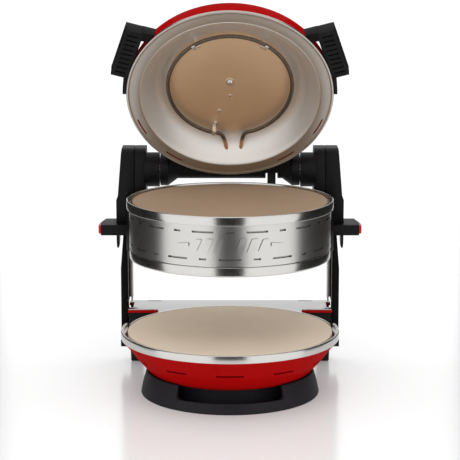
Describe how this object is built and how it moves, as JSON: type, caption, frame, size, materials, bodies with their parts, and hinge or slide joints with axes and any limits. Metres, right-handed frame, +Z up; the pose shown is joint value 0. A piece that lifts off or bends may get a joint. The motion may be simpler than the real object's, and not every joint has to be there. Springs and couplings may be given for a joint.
{
  "type": "countertop pizza oven",
  "caption": "Two-deck countertop pizza oven: a red base bowl with a stone, a drum with a second stone that rides up two columns, and a hinged domed lid.",
  "frame": {"origin": "centre of the object's box on the table, in the serving pose: drum raised and lid open", "axes": "+Z up, +X to the right of someone who faces the front, front towards -Y"},
  "size_m": [0.4422, 0.404, 0.6254],
  "materials": {
    "black_plastic": "fine grain",
    "charcoal_plastic": "fine grain",
    "red_paint": "high gloss",
    "red_plastic": "gloss",
    "chrome_trim": "polished",
    "bright_dish": "bright pressed sheet",
    "satin_steel": "satin",
    "black_steel": "satin black",
    "zinc_sheet": "zinc plated",
    "heater_sheath": "heat darkened",
    "baking_stone": "matt",
    "white_ceramic": "unglazed",
    "black_rubber": "matt"
  },
  "bodies": {
    "base": {"pedestal": "charcoal_plastic", "base_cover": "zinc_sheet", "lower_shell": "red_paint", "lower_reflector": "bright_dish", "lower_stone_seat": "zinc_sheet", "lower_heater": "heater_sheath", "lower_thermostat": "white_ceramic", "lower_stone": "baking_stone", "lower_ring": "chrome_trim", "rear_tray": "satin_steel", "rear_tray_skirt": "red_paint", "rear_housing": "black_plastic", "rear_housing_cover": "black_plastic", "cord_gland": "black_rubber", "rear_foot_right": "black_rubber", "rear_foot_left": "black_rubber", "column_right": "black_steel", "column_left": "black_steel"},
    "rails": {"middle_rail_right": "satin_steel", "middle_rail_left": "satin_steel"},
    "drum": {"drum_foot_rim": "chrome_trim", "drum_shell": "chrome_trim", "drum_top_rim": "chrome_trim", "upper_stone": "baking_stone", "upper_stone_seat": "zinc_sheet", "divider_plate": "zinc_sheet", "upper_heater": "heater_sheath", "ceiling_reflector": "bright_dish", "ceiling_heater": "heater_sheath", "lid_lead": "black_rubber", "lead_gland": "black_plastic", "tower_cover_right": "black_plastic", "tower_cover_left": "black_plastic", "tower_frame_right": "black_plastic", "tower_frame_left": "black_plastic", "slider_right": "satin_steel", "slider_left": "satin_steel", "side_bracket_right": "black_plastic", "side_bracket_left": "black_plastic", "side_handle_right": "black_plastic", "side_handle_left": "black_plastic", "button_spring_right": "satin_steel", "button_spring_left": "satin_steel", "hinge_pin_right": "satin_steel", "hinge_pin_left": "satin_steel"},
    "button_right": {"release_button_right": "red_plastic"},
    "button_left": {"release_button_left": "red_plastic"},
    "lid": {"hinge_beam": "black_plastic", "lid_skin": "red_paint", "lid_rim": "chrome_trim", "lid_reflector": "bright_dish", "lid_heater": "heater_sheath", "heater_clip_front_left": "satin_steel", "heater_clip_front_right": "satin_steel", "heater_clip_back": "satin_steel", "crown_screw": "chrome_trim", "lid_thermostat": "white_ceramic", "lid_handle_right": "black_plastic", "lid_handle_left": "black_plastic"}
  },
  "joints": [
    {"name": "drum_lift", "type": "slide", "parent": "base", "child": "drum", "axis": [0, 0, 1], "range_m": [-0.119, 0]},
    {"name": "rail_slide", "type": "slide", "parent": "base", "child": "rails", "axis": [0, 0, 1], "range_m": [-0.0595, 0]},
    {"name": "lid_hinge", "type": "hinge", "parent": "drum", "child": "lid", "pos_m": [0, 0.146, 0.3365], "axis": [1, 0, 0], "range_deg": [0, 58]},
    {"name": "release_right", "type": "slide", "parent": "drum", "child": "button_right", "axis": [-1, 0, 0], "range_m": [0, 0.003], "stiffness_N_per_m": 600, "springref_m": -0.002, "deforming": ["button_spring_right"]},
    {"name": "release_left", "type": "slide", "parent": "drum", "child": "button_left", "axis": [1, 0, 0], "range_m": [0, 0.003], "stiffness_N_per_m": 600, "springref_m": -0.002, "deforming": ["button_spring_left"]}
  ],
  "couplings": [
    {"joint": "rail_slide", "follows": "drum_lift", "ratio": 0.5}
  ]
}
